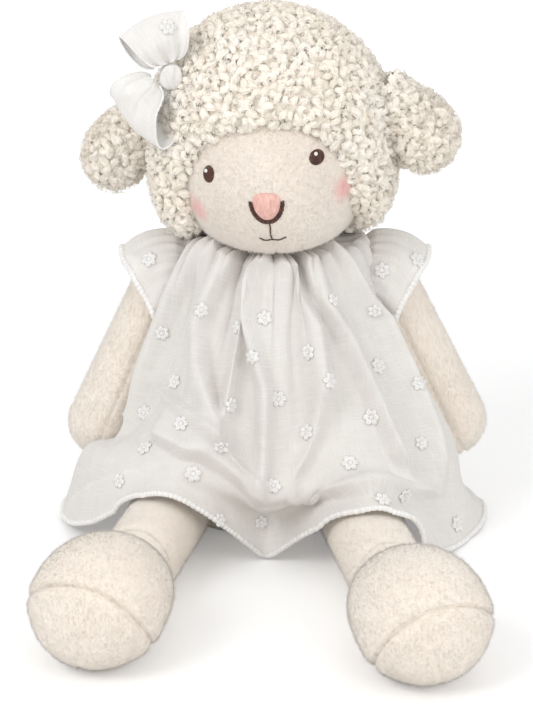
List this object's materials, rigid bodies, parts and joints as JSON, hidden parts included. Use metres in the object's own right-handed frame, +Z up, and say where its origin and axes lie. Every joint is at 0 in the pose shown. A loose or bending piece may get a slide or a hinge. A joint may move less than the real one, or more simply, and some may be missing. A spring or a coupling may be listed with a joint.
{
  "type": "plush lamb",
  "caption": "Sitting plush lamb in a voile dress, with curly fleece head, drooping ears, limp arms and long legs.",
  "frame": {"origin": "middle of the torso's underside, on the floor", "axes": "+Z up; the toy faces -Y; its own left side is +X"},
  "size_m": [0.1988, 0.281, 0.2435],
  "materials": {
    "plush": "short pile",
    "fleece": "curled pile",
    "lining": "short pile",
    "voile": "fine weave",
    "stuffing": "loose fibre",
    "pellets": "matt",
    "brown_thread": "satin stitch",
    "pink_thread": "satin stitch",
    "white_thread": "satin stitch"
  },
  "bodies": {
    "torso": {"torso_front": "plush", "torso_back": "plush", "torso_base": "plush", "pellet_pouch": "pellets", "torso_stuffing": "stuffing", "dress_front": "voile", "dress_back": "voile", "neck_binding": "voile", "sleeve_left": "voile", "sleeve_right": "voile"},
    "head": {"face_forehead": "plush", "face_cheek_left": "plush", "face_cheek_right": "plush", "eye_left": "brown_thread", "eye_right": "brown_thread", "eye_glint_left": "white_thread", "eye_glint_right": "white_thread", "nose_pad": "pink_thread", "nose_outline": "brown_thread", "mouth_stitch": "brown_thread", "fleece_cap": "fleece", "head_stuffing": "stuffing", "bow_knot": "voile", "bow_loop_upper": "voile", "bow_loop_lower": "voile"},
    "ear_left": {"ear_fleece_left": "fleece", "ear_lining_left": "lining"},
    "ear_right": {"ear_fleece_right": "fleece", "ear_lining_right": "lining"},
    "arm_left": {"arm_outer_left": "plush", "arm_inner_left": "plush", "arm_stuffing_left": "stuffing"},
    "arm_right": {"arm_outer_right": "plush", "arm_inner_right": "plush", "arm_stuffing_right": "stuffing"},
    "leg_left": {"leg_skin_left": "plush", "foot_upper_left": "plush", "sole_outer_left": "plush", "sole_inner_left": "plush", "leg_stuffing_left": "stuffing"},
    "leg_right": {"leg_skin_right": "plush", "foot_upper_right": "plush", "sole_outer_right": "plush", "sole_inner_right": "plush", "leg_stuffing_right": "stuffing"}
  },
  "joints": [
    {"name": "neck_turn", "type": "hinge", "parent": "torso", "child": "head", "pos_m": [0.0025, 0.001, 0.13], "axis": [0, 0, 1], "range_deg": [-25, 25], "stiffness_Nm_per_rad": 0.05},
    {"name": "ear_lift_left", "type": "hinge", "parent": "head", "child": "ear_left", "pos_m": [0.05313, -0.00549, 0.19902], "axis": [-0.1205, -0.9925, -0.018], "range_deg": [0, 60]},
    {"name": "ear_lift_right", "type": "hinge", "parent": "head", "child": "ear_right", "pos_m": [-0.0512, 0.00739, 0.18718], "axis": [0.1205, 0.9925, 0.018], "range_deg": [0, 60]},
    {"name": "shoulder_left", "type": "hinge", "parent": "torso", "child": "arm_left", "pos_m": [0.05106, 0.004, 0.117], "axis": [-1, 0, 0], "range_deg": [-35, 90], "deforming": ["sleeve_left", "dress_front", "dress_back"]},
    {"name": "shoulder_right", "type": "hinge", "parent": "torso", "child": "arm_right", "pos_m": [-0.04274, 0.004, 0.117], "axis": [-1, 0, 0], "range_deg": [-35, 90], "deforming": ["sleeve_right", "dress_front", "dress_back"]},
    {"name": "hip_left", "type": "hinge", "parent": "torso", "child": "leg_left", "pos_m": [0.04, -0.042, 0.0165], "axis": [-1, 0, 0], "range_deg": [-75, 20], "deforming": ["dress_front", "dress_back"]},
    {"name": "hip_right", "type": "hinge", "parent": "torso", "child": "leg_right", "pos_m": [-0.04, -0.0295, 0.0165], "axis": [-1, 0, 0], "range_deg": [-75, 20], "deforming": ["dress_front", "dress_back"]}
  ]
}
